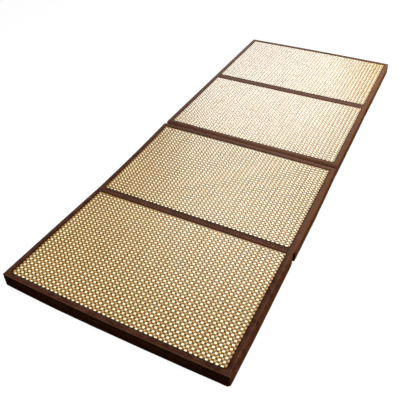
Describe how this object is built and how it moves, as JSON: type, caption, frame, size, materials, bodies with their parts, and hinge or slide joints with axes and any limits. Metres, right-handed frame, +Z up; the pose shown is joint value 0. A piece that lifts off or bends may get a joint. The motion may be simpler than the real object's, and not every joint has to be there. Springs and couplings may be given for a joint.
{
  "type": "folding tatami mat",
  "caption": "Flat folding tatami mat lying open: boxed pads with woven rush faces, brown cloth borders and cloth hinges between the panels.",
  "frame": {"origin": "middle of the mat's underside, on the surface it lies on", "axes": "+X across the width to the right, +Y along the length from the near end to the far end, +Z up"},
  "size_m": [0.702, 1.853, 0.057],
  "materials": {
    "boxing_cloth": "matt dark brown plain-woven cotton blend",
    "binding_cloth": "matt reddish brown plain-woven cotton blend",
    "woven_rush": "satin woven rush strips, cream and tan over dark brown cords"
  },
  "bodies": {
    "root": {"pad_1": "boxing_cloth", "pad_2": "boxing_cloth", "pad_3": "boxing_cloth", "pad_4": "boxing_cloth", "face_1": "woven_rush", "face_2": "woven_rush", "face_3": "woven_rush", "face_4": "woven_rush", "binding_near": "binding_cloth", "binding_far": "binding_cloth", "binding_fold_2": "binding_cloth", "binding_fold_3": "binding_cloth", "binding_left_12": "binding_cloth", "binding_right_12": "binding_cloth", "binding_left_34": "binding_cloth", "binding_right_34": "binding_cloth", "hinge_top_12": "binding_cloth", "hinge_top_34": "binding_cloth", "hinge_under_23": "binding_cloth"}
  },
  "joints": []
}
